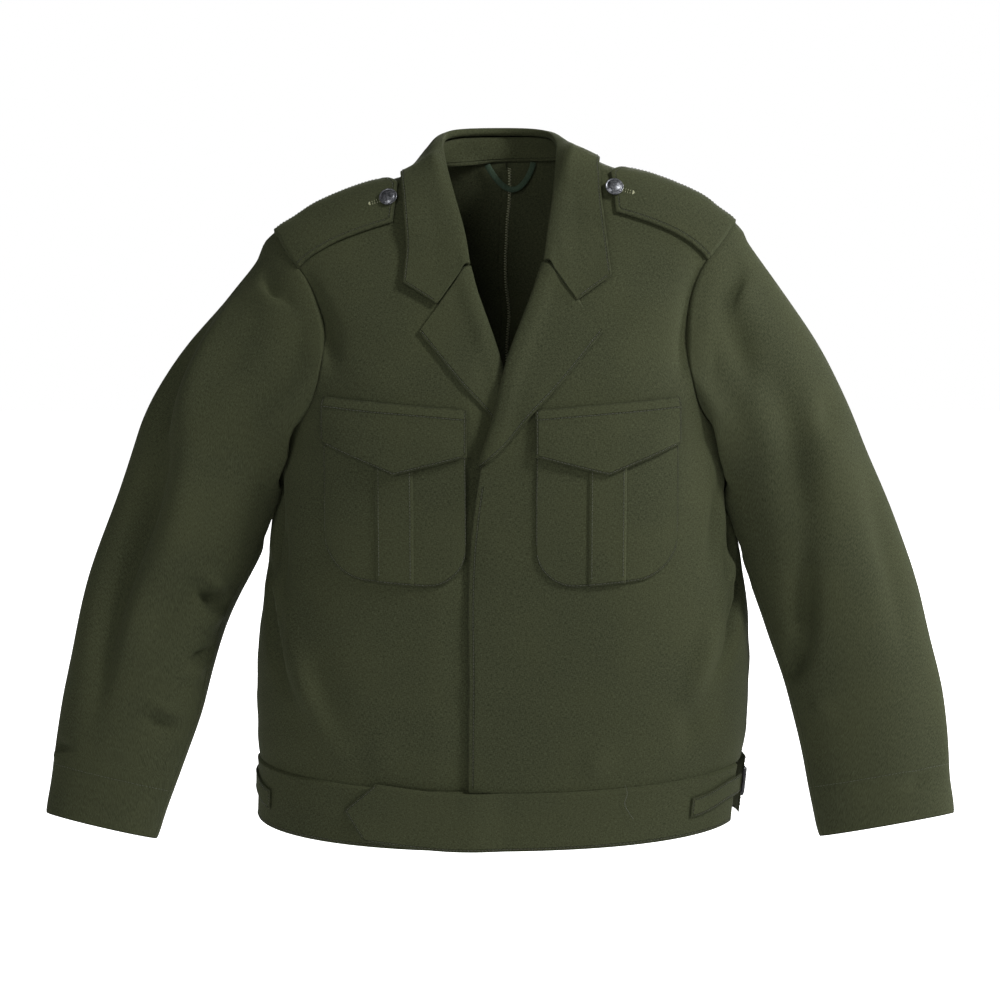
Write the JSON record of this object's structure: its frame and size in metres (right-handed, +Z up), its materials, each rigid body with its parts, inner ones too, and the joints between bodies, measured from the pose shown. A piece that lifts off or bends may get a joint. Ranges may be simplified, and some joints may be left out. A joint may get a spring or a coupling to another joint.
{
  "type": "battledress jacket",
  "caption": "Olive green waist-length battledress jacket with open notched collar, shoulder straps, pleated flap pockets, a waistband with pointed tab and side buckles.",
  "frame": {"origin": "middle of the neck, midway between the points where the shoulder seams meet the collar", "axes": "+Z up, -Y out of the front, +X towards the wearer's left sleeve"},
  "size_m": [0.86, 0.2444, 0.6681],
  "materials": {
    "cloth": "matt olive green wool and cotton blend with a soft nap",
    "button": "dull pewter grey, worn to a soft shine",
    "buckle": "black enamel, slightly worn",
    "loop_tape": "woven cotton tape, greener than the cloth"
  },
  "bodies": {
    "root": {"back_left": "cloth", "back_right": "cloth", "front_left": "cloth", "front_right": "cloth", "sleeve_top_left": "cloth", "sleeve_top_right": "cloth", "sleeve_under_left": "cloth", "sleeve_under_right": "cloth", "lapel_left": "cloth", "lapel_right": "cloth", "collar_fall": "cloth", "collar_stand": "cloth", "pocket_left": "cloth", "pocket_right": "cloth", "pocket_flap_left": "cloth", "pocket_flap_right": "cloth", "shoulder_strap_left": "cloth", "shoulder_strap_right": "cloth", "shoulder_button_left": "button", "shoulder_button_right": "button", "waistband_left": "cloth", "waistband_right": "cloth", "waistband_back": "cloth", "side_strap_left": "cloth", "side_strap_right": "cloth", "side_tab_left": "cloth", "side_tab_right": "cloth", "side_buckle_left": "buckle", "side_buckle_right": "buckle", "hanger_loop": "loop_tape"}
  },
  "joints": []
}
